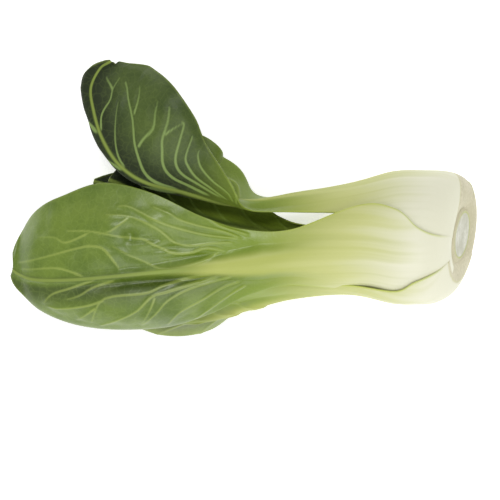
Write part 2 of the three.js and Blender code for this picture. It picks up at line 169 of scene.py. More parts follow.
def leaf_back(stations, wave, t, v):
    """The leaf's back at t along it and v across it, from -1 to 1. The cross curve leaves the midrib, turns
    by the crease over CREASE_WIDTH and evenly by the curl out to the margin; its way across and its fall
    are the sums of cos and -sin of that turn. The sweep turns it forward, its way ahead being its way
    across times sin of the sweep, and the margin waves as v cubed times a sine of t."""
    s = along(stations, t)
    ahead = unit(s[:, 6:9])
    back = unit(s[:, 3:6] - (s[:, 3:6] * ahead).sum(1, keepdims=True) * ahead)
    across = np.cross(back, ahead)
    side = (v >= 0).astype(int)
    half = np.maximum(s[:, 9:11][:, side], 0.5)
    crease, curl, sweep = (np.radians(s[:, k : k + 2][:, side]) for k in (11, 13, 15))
    step = np.abs(v) * half / CURVE_STEPS
    out, lift = np.zeros_like(half), np.zeros_like(half)
    for i in range(CURVE_STEPS):
        q = (i + 0.5) * step
        turn = crease * ramp(0, CREASE_WIDTH, q) + curl * q / half
        out += np.cos(turn) * step
        lift -= np.sin(turn) * step
    height, count, phase = wave
    swing = 2 * np.pi * count * t[:, None] + phase + side * SIDE_PHASE
    lift += height * s[:, 20:21] * np.abs(v) ** 3 * np.sin(swing)
    sideways = np.sign(v) * out * np.cos(sweep)
    forward = np.abs(out) * np.sin(sweep)
    p = s[:, None, :3] + across[:, None] * sideways[..., None]
    p = p + ahead[:, None] * forward[..., None] + back[:, None] * lift[..., None]
    return lean_back(p), half, s


def even_rows(stations, rows):
    """The t of rows that stand evenly along the midrib, and their distances from the root end."""
    fine = np.linspace(0, 1, 3000)
    places = along(stations, fine)[:, :3]
    length = np.concatenate([[0], np.cumsum(np.linalg.norm(np.diff(places, axis=0), axis=1))])
    wanted = np.linspace(0, length[-1], rows)
    return np.interp(wanted, length, fine), wanted


def vein_field(veins, far, side):
    """How near each point of the blade is to a vein. A vein is its width and then its points (distance
    along the leaf, distance across), joined smoothly. It counts as its height times
    exp(-(distance / width)2), both falling from root to end. Returns the strongest vein and the distance
    to the nearest, made longer over the last quarter of a vein."""
    strength, nearest = np.zeros_like(far), np.full_like(far, 99.0)
    steps = np.linspace(0, 1, CURVE_STEPS)
    for vein in veins:
        width, line = vein[0], along(np.array(vein[1:], float).reshape(-1, 2), steps)
        low, high = line.min(0) - 6, line.max(0) + 6
        near = (far > low[0]) & (far < high[0]) & (side > low[1]) & (side < high[1])
        if not near.any():
            continue
        point = np.stack([far[near], side[near]], -1)[:, None]
        start, leg = line[:-1], np.diff(line, axis=0)
        share = np.clip(((point - start) * leg).sum(-1) / (leg**2).sum(-1), 0, 1)
        gap = np.linalg.norm(point - start - share[..., None] * leg, axis=-1)
        best = gap.argmin(1)
        pick = np.arange(len(best))
        along_it = (best + share[pick, best]) / (len(steps) - 1)
        gap = gap[pick, best]
        taper = np.maximum(width * (0.8 - 0.5 * along_it**0.5), 0.58)
        height = ramp(0, 0.12, along_it) * (0.5 + 0.7 * width) * (1 - 0.6 * along_it)
        mark = np.exp(-((gap / taper) ** 2)) * height
        strength[near] = np.maximum(strength[near], mark)
        nearest[near] = np.minimum(nearest[near], gap + 2.5 * ramp(0.75, 1, along_it))
    return strength, nearest


def soft_noise(far, side, size, seed):
    """A smooth unevenness between about -1 and 1: a quarter of the sum of eight sines in turned
    directions, whose lengths lie round the given size in millimetres."""
    dice = np.random.default_rng(seed)
    total = np.zeros_like(far)
    for _ in range(8):
        angle, phase = dice.uniform(0, np.pi), dice.uniform(0, 2 * np.pi)
        length = size * dice.uniform(0.7, 1.6)
        total += np.sin(2 * np.pi * (far * np.cos(angle) + side * np.sin(angle)) / length + phase)
    return total / 4


def make_leaf(name, stations, wave, veins, rows, columns, dents=(), pucker=0.5, seed=1, rib_shows=0.8):
    """A closed leaf, its columns a little closer at the margins. The back is moved out along its normal by
    the rib and the veins, less the pucker between them and the dents, each its drop times
    exp(-(along / long)2 - (across / wide)2); the face lies one thickness under it, and a rim joins the
    two. The colour attribute holds vein, blade, margin and face."""
    t, far_line = even_rows(stations, rows)
    v = np.sin(np.linspace(-1, 1, columns) * np.pi / 2) * 0.35 + np.linspace(-1, 1, columns) * 0.65
    p, half, s = leaf_back(stations, wave, t, v)
    side = v * half
    far = np.broadcast_to(far_line[:, None], side.shape)
    normal = unit(np.cross(np.gradient(p, axis=0), np.gradient(p, axis=1)))

    off = np.abs(side)
    width = np.minimum(s[:, 18:19], RIB_REACH * half)
    ridge = np.maximum(0, 1 - (off / width) ** 2.6) ** 1.6
    thin = MARGIN_THICK + (BLADE_THICK - MARGIN_THICK) * ramp(0, 5, half - off)
    depth = thin + np.maximum(0, s[:, 17:18] - BLADE_THICK) * ridge
    proud = s[:, 19:20] * (depth - thin)

    strength, nearest = vein_field(veins, far, side)
    opened = ramp(0, 1, s[:, 19:20] / 0.8)
    shown = width * rib_shows * (1 - 0.55 * ramp(110, 160, far)) + 0.6
    blade = ramp(0.35, 0.95, off / shown) * opened
    pillow = blade * ramp(0, 4.5, nearest) * ramp(0, 6, half - off)
    uneven = 0.75 + 0.5 * soft_noise(far, side, 11, seed)
    relief = (0.3 + 0.25 * ramp(150, 112, far)) * strength * opened - pucker * pillow * uneven
    for at_far, at_side, long, wide, drop in dents:
        relief -= drop * np.exp(-(((far - at_far) / long) ** 2) - ((side - at_side) / wide) ** 2)
    margin = 1 - ramp(0, 1.2, half - off)

    outer = p + normal * (proud + relief)[..., None]
    inner = p + normal * (proud + relief - depth - 0.25 * strength * opened)[..., None]
    points = np.concatenate([outer.reshape(-1, 3), inner.reshape(-1, 3)])
    points[:, 2] = np.maximum(points[:, 2], LOWEST_Z)
    points = (points + HEAD_SHIFT) * MM

    sheet = rows * columns
    grid = np.arange(sheet).reshape(rows, columns)
    a, b, c, d = (grid[:-1, :-1], grid[:-1, 1:], grid[1:, 1:], grid[1:, :-1])
    back_faces = np.stack([a, d, c, b], -1).reshape(-1, 4)
    face_faces = np.stack([a, b, c, d], -1).reshape(-1, 4) + sheet
    loop = np.concatenate([grid[0, :-1], grid[:-1, -1], grid[-1, :0:-1], grid[:0:-1, 0]])
    following = np.roll(loop, -1)
    rim = np.stack([loop, following, following + sheet, loop + sheet], -1)
    faces = np.concatenate([back_faces, face_faces, rim])

    mesh = bpy.data.meshes.new(name)
    mesh.vertices.add(len(points))
    mesh.vertices.foreach_set("co", points.astype(np.float32).ravel())
    mesh.loops.add(faces.size)
    mesh.loops.foreach_set("vertex_index", faces.astype(np.int32).ravel())
    mesh.polygons.add(len(faces))
    mesh.polygons.foreach_set("loop_start", np.arange(0, faces.size, 4, dtype=np.int32))
    mesh.update(calc_edges=True)
    mesh.polygons.foreach_set("use_smooth", np.ones(len(faces), bool))

    sheet_uv = np.stack([far, side], -1).reshape(-1, 2) * MM
    uv = np.concatenate([sheet_uv, sheet_uv])[faces.ravel()]
    mesh.uv_layers.new(name="leaf").data.foreach_set("uv", uv.astype(np.float32).ravel())
    parts = np.stack([strength, blade, margin, np.zeros_like(far)], -1).reshape(-1, 4)
    parts = np.concatenate([parts, parts + [0, 0, 0, 1]])
    colours = mesh.attributes.new("parts", "FLOAT_COLOR", "POINT")
    colours.data.foreach_set("color", parts.astype(np.float32).ravel())
    mesh.validate()

    leaf = bpy.data.objects.new(name, mesh)
    scene.collection.objects.link(leaf)
    return leaf


class Amount:
    """A number that a material works out along its surface: + - and * add its Math nodes."""

    def __init__(self, finish, socket):
        self.finish, self.socket = finish, socket

    def maths(self, operation, *values):
        return self.finish.node("ShaderNodeMath", {"operation": operation}, dict(enumerate(values)))

    def __add__(self, other):
        return self.maths("ADD", self, other)

    def __radd__(self, other):
        return self.maths("ADD", other, self)

    def __sub__(self, other):
        return self.maths("SUBTRACT", self, other)

    def __rsub__(self, other):
        return self.maths("SUBTRACT", other, self)

    def __mul__(self, other):
        return self.maths("MULTIPLY", self, other)

    def __rmul__(self, other):
        return self.maths("MULTIPLY", other, self)


class Finish:
    """One material: its nodes, and the surface shader that they end in."""

    def __init__(self, name, roughness):
        self.material = bpy.data.materials.new(name)
        self.material.use_nodes = True
        self.tree = self.material.node_tree
        self.shader = self.tree.nodes["Principled BSDF"]
        self.shader.inputs["Roughness"].default_value = roughness

    def node(self, kind, settings=None, inputs=None, output=0):
        """Adds a node, first its settings and then the values or links of its sockets."""
        made = self.tree.nodes.new(kind)
        for key, value in (settings or {}).items():
            setattr(made, key, value)
        for key, value in (inputs or {}).items():
            self.give(made.inputs[key], value)
        return Amount(self, made.outputs[output])

    def give(self, socket, value):
        """Links an amount to a socket, or sets the socket to a plain value."""
        if isinstance(value, Amount):
            self.tree.links.new(value.socket, socket)
        else:
            socket.default_value = value

    def mix(self, share, low, high):
        """The colour low where share is 0, high where it is 1."""
        return self.node("ShaderNodeMix", {"data_type": "RGBA"}, {0: share, 6: low, 7: high}, 2)

    def step(self, low, high, x):
        """0 below low and 1 above high, smooth between."""
        settings = {"interpolation_type": "SMOOTHSTEP"}
        return self.node("ShaderNodeMapRange", settings, {"Value": x, "From Min": low, "From Max": high})

    def noise(self, where, size, detail, rough):
        """An even unevenness from 0 to 1 with lumps of a size, in the units of where."""
        return self.node("ShaderNodeTexNoise", None,
            {"Vector": where, "Scale": 1 / size, "Detail": detail, "Roughness": rough})

    def bump(self, height, distance, strength):
        """Relief of a height from 0 to 1 times a distance in metres, felt by the light alone."""
        relief = self.node("ShaderNodeBump", None,
            {"Height": height, "Distance": distance, "Strength": strength})
        self.give(self.shader.inputs["Normal"], relief)


def paint(red, green, blue):
    """A screen colour, 0 to 255, as the shader's linear one: ((c + 0.055) / 1.055) to the power 2.4."""
    return tuple(((c / 255 + 0.055) / 1.055) ** 2.4 for c in (red, green, blue)) + (1.0,)


RIPE_AT = 0.129


def leaf_finish(name, back, back_dark, face, face_dark, shine, heel=0.004, ripens=RIPE_AT, heel_slant=0.0):
    """A leaf: cream at the root, turning green along the stalk; the blade mottled, darker on its face and
    with a thin gloss on its back, with pale veins, a fine net between them and a yellow-green margin,
    and painted shade beside the midrib on both its back and its face.
    heel is how far the cut's scar runs up the stalk, ripens how far the stalk's own green starts."""
    leaf = Finish(name, shine)
    here = leaf.node("ShaderNodeTexCoord", output=3)
    sheet = leaf.node("ShaderNodeUVMap", {"uv_map": "leaf"})
    far = leaf.node("ShaderNodeSeparateXYZ", None, {"Vector": sheet}, 0)
    side = Amount(leaf, far.socket.node.outputs["Y"])
    parts = leaf.node("ShaderNodeAttribute", {"attribute_name": "parts"})
    face_up = Amount(leaf, parts.socket.node.outputs["Alpha"])
    vein = leaf.node("ShaderNodeSeparateColor", None, {"Color": parts}, 0)
    blade = Amount(leaf, vein.socket.node.outputs[1])
    margin = Amount(leaf, vein.socket.node.outputs[2])

    threads = leaf.node("ShaderNodeVectorMath", {"operation": "MULTIPLY"}, {0: sheet, 1: (7.0, 420.0, 1.0)})
    flames = leaf.node("ShaderNodeVectorMath", {"operation": "MULTIPLY"}, {0: sheet, 1: (6.0, 120.0, 1.0)})
    streak = leaf.noise(threads, 1.0, 3.0, 0.5)
    flame = leaf.noise(flames, 1.0, 2.0, 0.5)
    cloud = leaf.noise(here, 0.018, 3.0, 0.55)
    grain = leaf.noise(here, 0.0012, 2.0, 0.6)

    dried = leaf.step(0.35, 0.7, cloud * 0.5 + grain * 0.5)
    scar = leaf.mix(dried, paint(196, 190, 156), paint(220, 214, 186))
    from_heel = far - heel + heel_slant * side + 0.003 * (cloud - 0.5)
    stalk = leaf.mix(leaf.step(-0.0008, 0.0014, from_heel), scar, paint(231, 230, 206))
    lip = 1 - leaf.step(0.0001, 0.0007, from_heel.maths("ABSOLUTE", from_heel))
    stalk = leaf.mix(lip * 0.35, stalk, paint(196, 196, 118))
    ripe = far + 0.4 * (RIPE_AT - ripens) - 0.4 * side + 0.04 * (flame - 0.5) + 0.008 * (streak - 0.5)
    stalk = leaf.mix(leaf.step(0.028, 0.07, ripe), stalk, paint(200, 203, 132))
    stalk = leaf.mix(leaf.step(0.062, 0.1, ripe), stalk, paint(176, 184, 94))
    fibre = leaf.step(0.4, 0.75, streak) * 0.13 * leaf.step(0.01, 0.05, far)
    stalk = leaf.mix(fibre, stalk, paint(150, 162, 70))
    ripe = far + 0.01 * (flame - 0.5) - ripens
    stalk = leaf.mix(leaf.step(-0.013, 0.013, ripe), stalk, paint(112, 130, 42))
    stalk = leaf.mix(leaf.step(0.013, 0.035, ripe), stalk, paint(72, 90, 24))
    midrib = 1 - leaf.step(0.0003, 0.0012, side.maths("ABSOLUTE", side))
    stalk = leaf.mix(midrib * 0.65 * leaf.step(-0.01, 0.015, ripe), stalk, paint(150, 168, 78))
    stalk = leaf.mix(margin * 0.7 * leaf.step(0.008, 0.02, far), stalk, paint(186, 198, 84))

    mottle = leaf.step(0.3, 0.72, cloud * 0.8 + grain * 0.2)
    under = leaf.mix(mottle, back_dark, back)
    # Painted shade: the back is darkened in a band 1 to 15 mm out from the midrib on one half, where the
    # trough beside the rib lies in shade.
    trough_shade = leaf.step(0.001, 0.004, side) * (1 - leaf.step(0.005, 0.015, side))
    under = leaf.mix(trough_shade * 0.6, under, paint(44, 58, 14))
    upper = leaf.mix(mottle, face_dark, face)
    # Painted shade: the face is made almost black over all of the half on the minus side and out to 20 mm
    # from the midrib on the other half.
    upper = leaf.mix((1 - leaf.step(0.002, 0.02, side)) * 0.9, upper, paint(22, 33, 4))
    green = leaf.mix(face_up, under, upper)
    drift = leaf.node("ShaderNodeTexNoise", None, {"Vector": here, "Scale": 220.0}, 1)
    drift = leaf.node("ShaderNodeVectorMath", {"operation": "SCALE"}, {0: drift, "Scale": 0.003})
    drifted = leaf.node("ShaderNodeVectorMath", {"operation": "ADD"}, {0: here, 1: drift})
    cells = leaf.node("ShaderNodeTexVoronoi", {"feature": "DISTANCE_TO_EDGE"},
        {"Vector": drifted, "Scale": 330.0})
    net = 1 - leaf.step(0.0, 0.1, cells)
    green = leaf.mix(net * (0.11 - 0.06 * face_up), green, paint(150, 172, 84))
    vein_green = leaf.mix(face_up, paint(160, 176, 84), paint(134, 158, 84))
    green = leaf.mix(leaf.step(0.1, 0.8, vein) * (0.55 + 0.25 * face_up), green, vein_green)
    green = leaf.mix((1 - leaf.step(0.1, 0.14, far)) * 0.65, green, paint(134, 158, 34))
    green = leaf.mix(margin * 0.3, green, paint(150, 168, 70))
    leaf.give(leaf.shader.inputs["Base Color"], leaf.mix(blade, stalk, green))

    rough = shine + 0.12 * grain + 0.1 * (1 - blade) + 0.3 * face_up * (1 - leaf.step(0.0, 0.02, side))
    leaf.give(leaf.shader.inputs["Roughness"], rough)
    leaf.shader.inputs["Specular IOR Level"].default_value = 0.4
    leaf.shader.inputs["Coat Roughness"].default_value = 0.36
    leaf.give(leaf.shader.inputs["Coat Weight"], blade * (1 - face_up) * 0.42)
    leaf.bump(streak * (1 - blade) * 0.1 + net * blade * 0.1 + grain * 0.3, 0.0004, 0.6)
    return leaf.material


# Station by station to the tip: place, the way the back faces, half widths, creases, curls and sweeps
# of the two halves, thickness and rib.
front_stations = leaf_stations(-26, 1, (23, 38), (61, 60), 0, 7, 17, [
    [47, -26, 51,  0, -0.42, 0.9,  24, 24,  0, 0,  56, 62,  0, 0,  6, 12],
    [20, -26.5, 45,  0, -0.32, 0.95,  13.5, 13,  0, 0,  34, 36,  0, 0,  5, 9.5],
    [0, -28, 42,  0, -0.22, 0.97,  15, 15,  -6, -6,  30, 44,  0, 0,  4.2, 7.5],
    [-16, -29.3, 40.5,  0, -0.16, 0.98,  22, 22.5,  -16, -14,  30, 62,  0, 0,  3.6, 5.5],
    [-36, -31, 39,  0, -0.12, 0.99,  34.1, 30,  -24, -22,  44, 88,  0, 0,  2.9, 4],
    [-56, -33, 36.5,  -0.1, -0.1, 0.99,  40.2, 30,  -20, -20,  44, 92,  0, 0,  2.2, 3],
    [-74, -34.5, 32,  -0.3, -0.1, 0.94,  36.2, 25,  -14, -12,  40, 76,  3, 0,  1.7, 2.4],
    [-89, -34.5, 25.5,  -0.5, -0.05, 0.86,  30.5, 15,  -8, -6,  30, 50,  4, 0,  1.3, 2],
    [-95.8, -32.4, 20.2,  -0.6, 0, 0.8,  18.5, 7.5,  0, 0,  16, 20,  25, -10,  1.1, 2],
    [-99, -30.4, 17.8,  -0.6, 0, 0.8,  7.5, 2.8,  0, 0,  4, 2,  28, 0,  1, 2],
])
front_wave = (1.1, 5, 0.4)
front_veins = [
    [1.0, 105.9, -10.8, 118.4, -13.3, 128.4, -16.4, 139.4, -21.2, 151.4, -28.7, 156.4, -29.5],
    [0.8, 105.9, -10.8, 114.9, -15.1, 124.4, -18.4, 131.4, -21.5, 135.9, -24.8, 141.9, -28],
    [0.7, 102.9, -11.9, 114.9, -17, 120.9, -22, 126.4, -25.2],
    [1.0, 109.4, -9.8, 118.4, -10.2, 132.4, -10.8, 141.4, -18.9, 151.9, -24.8, 161.4, -26.3],
    [1.3, 112.4, -5.7, 121.9, -8.6, 128.4, -7, 136.9, -8, 146.9, -14.4, 152.9, -15.7, 168.3, -19.9,
        179.3, -20.8],
    [1.0, 115.4, -6.6, 125.9, -3, 140.4, -1.3, 152.4, -7.8, 160.4, -12.9],
    [0.9, 157.9, 0.2, 163.4, -11.1, 169.8, -13.8, 178.3, -12.8, 188.3, -10.7, 197.8, -8.5, 206.3, -5.4],
    [0.8, 173.8, -0.5, 181.3, -3.8, 187.3, -5.2, 195.8, -4.8, 204.3, -3.2],
    [0.6, 168.3, -19.9, 180.3, -16, 186.3, -18.2, 196.3, -18.2],
    [0.6, 151.9, -24.8, 159.9, -19.7, 167.3, -18.4],
    [0.9, 168.8, 0.4, 182.3, 3.8, 189.8, 6, 194.3, 10],
    [0.8, 160.9, 1.7, 171.3, 3.9, 177.3, 6.7, 183.3, 8.4],
    [1.2, 118.4, 2.9, 130.4, 3.8, 141.4, 6, 148.9, 8.3, 163.4, 8.4, 169.8, 11.1, 175.3, 20.9],
    [0.9, 166.3, 9.4, 174.8, 11.5, 186.8, 12.7, 192.3, 12.1],
    [0.7, 171.3, 12.7, 176.3, 16, 181.3, 19.2],
    [1.3, 116.4, 4.2, 127.4, 6, 140.4, 8.7, 146.9, 10.1, 154.4, 16.2, 162.9, 20.3, 171.8, 24.1],
    [0.7, 145.4, 10.2, 147.9, 15.2, 153.4, 24.1],
    [1.1, 111.4, 4.6, 119.9, 5.9, 131.4, 8.5, 140.4, 12.5, 145.9, 18.1, 153.4, 25.3],
    [1.0, 108.4, 6.9, 116.9, 9.1, 126.4, 14, 136.4, 19.4, 142.4, 26.7],
    [0.9, 106.4, 8.7, 113.9, 12.7, 121.9, 18.2, 129.9, 24.7],
]
# The puckers: distance along and across, how long, how wide and how deep.
front_dents = [
    (153.0, -17.0, 2.6, 2.6, 2.4),
    (147.0, -14.5, 6.0, 1.3, 1.2),
    (160.5, -21.5, 6.5, 5.0, -2.3),
    (138.0, -23.5, 12.0, 4.5, -1.4),
    (139.0, -9.6, 8.0, 1.5, 1.2),
    (126.0, -10.4, 12.0, 1.5, 0.8),
    (124.0, -5.2, 12.0, 1.1, 0.7),
    (128.0, 3.9, 16.0, 1.3, 0.9),
    (152.0, 3.6, 30.0, 2.0, 1.5),
    (150.0, 11.0, 26.0, 4.5, -0.9),
    (157.0, -9.0, 14.0, 3.5, -0.9),
    (168.0, -26.0, 12.0, 6.0, -1.0),
]
leaf_front = make_leaf("front_leaf", front_stations, front_wave, front_veins,
    320, 145, front_dents, pucker=0.45, seed=4)
front_green = leaf_finish("front_leaf_green",
    paint(112, 134, 40), paint(86, 110, 22), paint(78, 96, 34), paint(50, 68, 14), 0.31)
leaf_front.data.materials.append(front_green)
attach(leaf_front, "root")
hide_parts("leaf_front")

# The leaf that stands off. Its blade is bent away from the head and folded along the midrib, so its
# dark face shows on the near half, with painted shade near the midrib, and its paler back on the far one.
side_stations = leaf_stations(62, 0.955, (58, 68), (62, 54), 0, 6.5, 16, [
    [44, 4.4, 36,  0, 0.9, 0.45,  16.5, 16,  0, 0,  44, 44,  0, 0,  5.5, 10],
    [22, 0.6, 34,  0.05, 0.9, 0.42,  11, 10.5,  0, 0,  40, 30,  0, 0,  4.8, 8],
    [4, -3.2, 34.5,  0.1, 0.95, 0.25,  12.5, 8,  -10, 0,  4, 4,  -8, 4,  4.2, 6.5],
    [-10, -1.4, 36,  0.2, 0.8, -0.35,  22.5, 16.5,  -80, 14,  -14, -34,  -28, -6,  3.6, 5],
    [-25, 2.6, 38,  0.3, 0.45, -0.8,  29, 24,  -142, 26,  -6, -46,  -16, -8,  3.2, 4],
    [-41, 6.5, 40,  0.3, 0.25, -0.92,  31, 36.5,  -146, 30,  -8, -52,  0, -11,  2.8, 3.4],
    [-52.2, 13.6, 42,  0.2, 0.1, -0.97,  31, 41.5,  -142, 28,  -8, -50,  10, 8,  2.4, 3],
    [-59.6, 24.5, 43.5,  0, 0, -1,  27, 36.8,  -132, 24,  -10, -46,  14, 26,  2, 2.6],
    [-63.4, 36.3, 43.5,  -0.1, 0.1, -0.97,  15, 29.4,  -112, 18,  -12, -36,  16, 28,  1.6, 2.2],
    [-64.6, 45.8, 42.5,  -0.15, 0.15, -0.95,  9, 20,  -84, 10,  -12, -20,  16, 40,  1.3, 2],
    [-60.8, 54, 41.5,  -0.15, 0.2, -0.95,  3, 9,  -40, 0,  -6, -6,  10, 54,  1.1, 2],
    [-56.2, 57, 41,  -0.15, 0.2, -0.95,  0.8, 1.5,  0, 0,  0, 0,  0, 40,  1, 2],
])
side_wave = (1.3, 6, 1.2)
side_veins = [
    [1.0, 177.4, 0.7, 182.4, 2.9, 184.3, 5.4, 185.8, 9.3, 189.3, 11.1, 192.2, 14.9],
    [0.6, 189.3, 11.1, 193.2, 9.9, 198.1, 7.6],
    [0.7, 159.2, 0.5, 165.1, 2.2, 170, 5.3, 175.5, 9.6, 180.9, 13.5],
    [1.3, 134.1, 0.6, 140.5, 0.9, 147.9, 2.3, 152.8, 4.6, 158.2, 9, 162.7, 12.3, 170, 17.8, 180.4, 19.2,
        187.3, 18],
    [0.8, 160.7, 11.8, 161.2, 16.4, 160.7, 23.2, 163.6, 28.1, 165.1, 31.5],
    [0.6, 170, 18.6, 172, 22.8, 174, 25.2, 176.5, 26.7],
    [1.2, 120.8, 3, 128.2, 3.6, 138, 5.7, 144.4, 8.9, 148.9, 12.9, 152.3, 17.8, 155.3, 22.3, 157.7, 29.5,
        160.2, 34.2],
    [0.6, 155.8, 23.7, 154.3, 28.3, 152.3, 32.4],
    [1.1, 115.8, 5.1, 124.2, 6.2, 134.6, 8.4, 141, 11.9, 145.4, 17.1, 148.4, 24.4, 151.3, 31.7, 152.8, 32.7],
    [1.0, 112.9, 4.9, 121.3, 7.7, 130.6, 9.8, 137, 14, 141, 18.3, 143.4, 26.2, 144.4, 28.2],
    [0.9, 111.4, 5.3, 115.8, 11.1, 124.2, 12.2, 131.1, 15.2, 135.1, 19.5, 136, 21.9],
    [0.8, 109.9, 5, 112.9, 14.4, 117.3, 17, 120.3, 18.7],
]
# The far half's veins mirror these, a little closer to the midrib.
far_veins = [
    [vein[0], *(x * (1 if i % 2 == 0 else -0.85) for i, x in enumerate(vein[1:]))] for vein in side_veins
]
leaf_side = make_leaf("side_leaf", side_stations, side_wave, side_veins + far_veins,
    320, 145, pucker=0.4, seed=9, rib_shows=0.3)
side_green = leaf_finish("side_leaf_green",
    paint(104, 124, 54), paint(84, 104, 36), paint(78, 96, 34), paint(52, 70, 18), 0.42, 0.011, 0.108, 0.7)
leaf_side.data.materials.append(side_green)
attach(leaf_side, "root")
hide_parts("leaf_side")

# The leaf on the lower side. It wraps the head from below, and only its stalk, its bright margin and a
# strip of blade show under the leaf on top.


def grown_veins(first, last, count, reach, seed):
    """Side veins in two rows: each starts at the midrib between first and last, and runs forward and out
    to a reach that is greatest in the middle of the blade, as the sine of its place there."""
    dice = np.random.default_rng(seed)
    veins = []
    for side in (-1, 1):
        for place in np.linspace(0, 1, count):
            start = first + (last - first) * place + dice.uniform(-1.5, 1.5)
            out = reach * (0.45 + 0.55 * np.sin(np.pi * (0.15 + 0.7 * place))) * dice.uniform(0.9, 1.1)
            veins.append([
                1.15 - 0.45 * place, start, side * 0.8, start + 0.5 * out, side * 0.2 * out,
                start + 0.95 * out, side * 0.58 * out, start + 1.2 * out, side * 0.97 * out,
            ])
    return veins

lower_stations = leaf_stations(-106, 1.035, (71, 50), (42, 46), 0, 6.5, 15, [
    [44, -40.4, 21,  0, -0.98, -0.2,  19.5, 14,  0, 0,  44, 38,  0, 0,  5.5, 10],
    [20, -41.5, 18.5,  0, -0.98, -0.1,  15, 11,  0, 0,  50, 30,  0, 0,  4.8, 8],
    [0, -45.5, 16.5,  0, -0.97, 0.15,  17, 12,  0, 0,  44, 22,  0, 0,  4, 6],
    [-17, -50.5, 14,  0.05, -0.88, 0.45,  20, 14,  0, -6,  30, 14,  0, 0,  3.2, 4.5],
    [-34, -51, 11.3,  0, -0.75, 0.65,  22, 13,  -4, -4,  26, 22,  0, 0,  2.6, 3.4],
    [-50, -46, 9.6,  -0.1, -0.62, 0.78,  20, 11,  -4, -4,  22, 22,  0, 0,  2, 2.8],
    [-63, -40.5, 8,  -0.15, -0.5, 0.85,  16, 10,  -2, -2,  16, 18,  0, 0,  1.6, 2.2],
    [-72, -36.5, 6.5,  -0.2, -0.45, 0.87,  9, 7,  0, 0,  8, 8,  0, 0,  1.2, 2],
    [-76, -35, 5.8,  -0.2, -0.45, 0.87,  1.5, 1,  0, 0,  0, 0,  0, 0,  1, 2],
])
lower_veins = grown_veins(96, 178, 7, 24, 21)
leaf_lower = make_leaf("lower_leaf", lower_stations, (1.0, 5, 2.1), lower_veins,
    230, 101, pucker=0.4, seed=21)
lower_green = leaf_finish("lower_leaf_green",
    paint(150, 168, 72), paint(122, 142, 46), paint(80, 100, 42), paint(50, 68, 22), 0.4, 0.009, 0.122)
leaf_lower.data.materials.append(lower_green)
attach(leaf_lower, "root")
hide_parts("leaf_lower")

# The leaf underneath. The head lies on it: the bulge of its stalk is pressed a little flat, and its
# blade, turned face up, reaches the table near its tip.
under_stations = leaf_stations(155, 0.985, (50, 40), (50, 42), 0, 6.5, 15, [
    [45, -18.5, 3.6,  0, 0.2, -0.97,  13, 13,  0, 0,  32, 32,  0, 0,  5.5, 10],
    [24, -25.5, 5.5,  0, 0.1, -0.99,  9.5, 10.5,  0, 0,  20, 22,  0, 0,  4.4, 8],
    [4, -24, 5,  0, 0.05, -1,  11, 11,  0, 0,  12, 12,  0, 0,  3.6, 6],
    [-13, -17, 3.8,  0, 0.05, -1,  17, 15,  2, 4,  8, 8,  0, 0,  3, 4.5],
    [-29, -8, 1.8,  0, 0.02, -1,  19, 18.5,  2, 4,  8, 6,  0, 0,  2.4, 3.4],
    [-43, -1, 1.0,  0, 0, -1,  17, 14,  2, 4,  10, 8,  0, 0,  2, 2.8],
    [-54, 4, 2.6,  -0.2, 0, -0.98,  12, 8.5,  2, 4,  10, 8,  0, 0,  1.5, 2.2],
    [-61.5, 6.4, 5.5,  -0.3, 0, -0.95,  5, 4,  2, 2,  6, 6,  0, 0,  1.2, 2],
    [-65, 7.6, 7,  -0.3, 0, -0.95,  1, 1,  0, 0,  0, 0,  0, 0,  1, 2],
])
under_veins = grown_veins(92, 165, 7, 21, 33)
leaf_under = make_leaf("under_leaf", under_stations, (0.9, 5, 3.3), under_veins,
    220, 91, pucker=0.35, seed=33)
leaf_under.data.materials.append(lower_green)
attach(leaf_under, "root")
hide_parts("leaf_under")

# The upper leaf of the second layer. It grew inside the four outer ones, so it is smaller, and only its
# face shows in the gap between the leaf that stands off and the leaf on top, painted dark as shade.
inner_upper_stations = leaf_stations(95, 0.62, (40, 40), (60, 62), 17, 4, 10, [
    [40, -9.5, 26,  0, 0.95, -0.1,  6.5, 8,  0, 0,  30, 30,  0, 0,  3.8, 7],
    [24, -14, 25,  0, 0.75, -0.55,  8, 8,  0, 0,  24, 24,  0, 0,  3.2, 5],
    [8, -14, 22.5,  0, 0.45, -0.9,  12, 11,  0, 0,  12, 6,  0, 0,  2.8, 4],
    [-10, -11, 20.5,  0, 0.3, -0.95,  15, 15,  2, 2,  8, 4,  0, 0,  2.4, 3.4],
    [-28, -4.5, 18.5,  0, 0.2, -0.97,  15, 16,  2, 2,  6, 4,  0, 0,  2, 2.8],
    [-43, 1.5, 18,  -0.05, 0.2, -0.97,  12, 13,  2, 2,  8, 6,  0, 0,  1.6, 2.2],
    [-54, 6.5, 19.5,  -0.1, 0.2, -0.97,  8, 9,  0, 0,  4, 4,  0, 0,  1.2, 2],
    [-58, 8, 20,  -0.1, 0.2, -0.97,  1, 1,  0, 0,  0, 0,  0, 0,  1, 2],
])
inner_upper_veins = grown_veins(62, 128, 6, 17, 41)
leaf_inner_upper = make_leaf("inner_upper_leaf", inner_upper_stations, (0.9, 4, 0.9), inner_upper_veins,
    190, 71, pucker=0.3, seed=41)
# Painted shade: the inner and heart leaves get darker greens than the outer ones, standing in for the shade
# they lie in between the outer leaves.
inner_shaded_green = leaf_finish("inner_leaf_painted_shade",
    paint(88, 108, 58), paint(64, 84, 36), paint(60, 80, 30), paint(30, 48, 8), 0.42, 0.004, 0.06)
leaf_inner_upper.data.materials.append(inner_shaded_green)
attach(leaf_inner_upper, "root")
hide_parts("leaf_inner_upper")

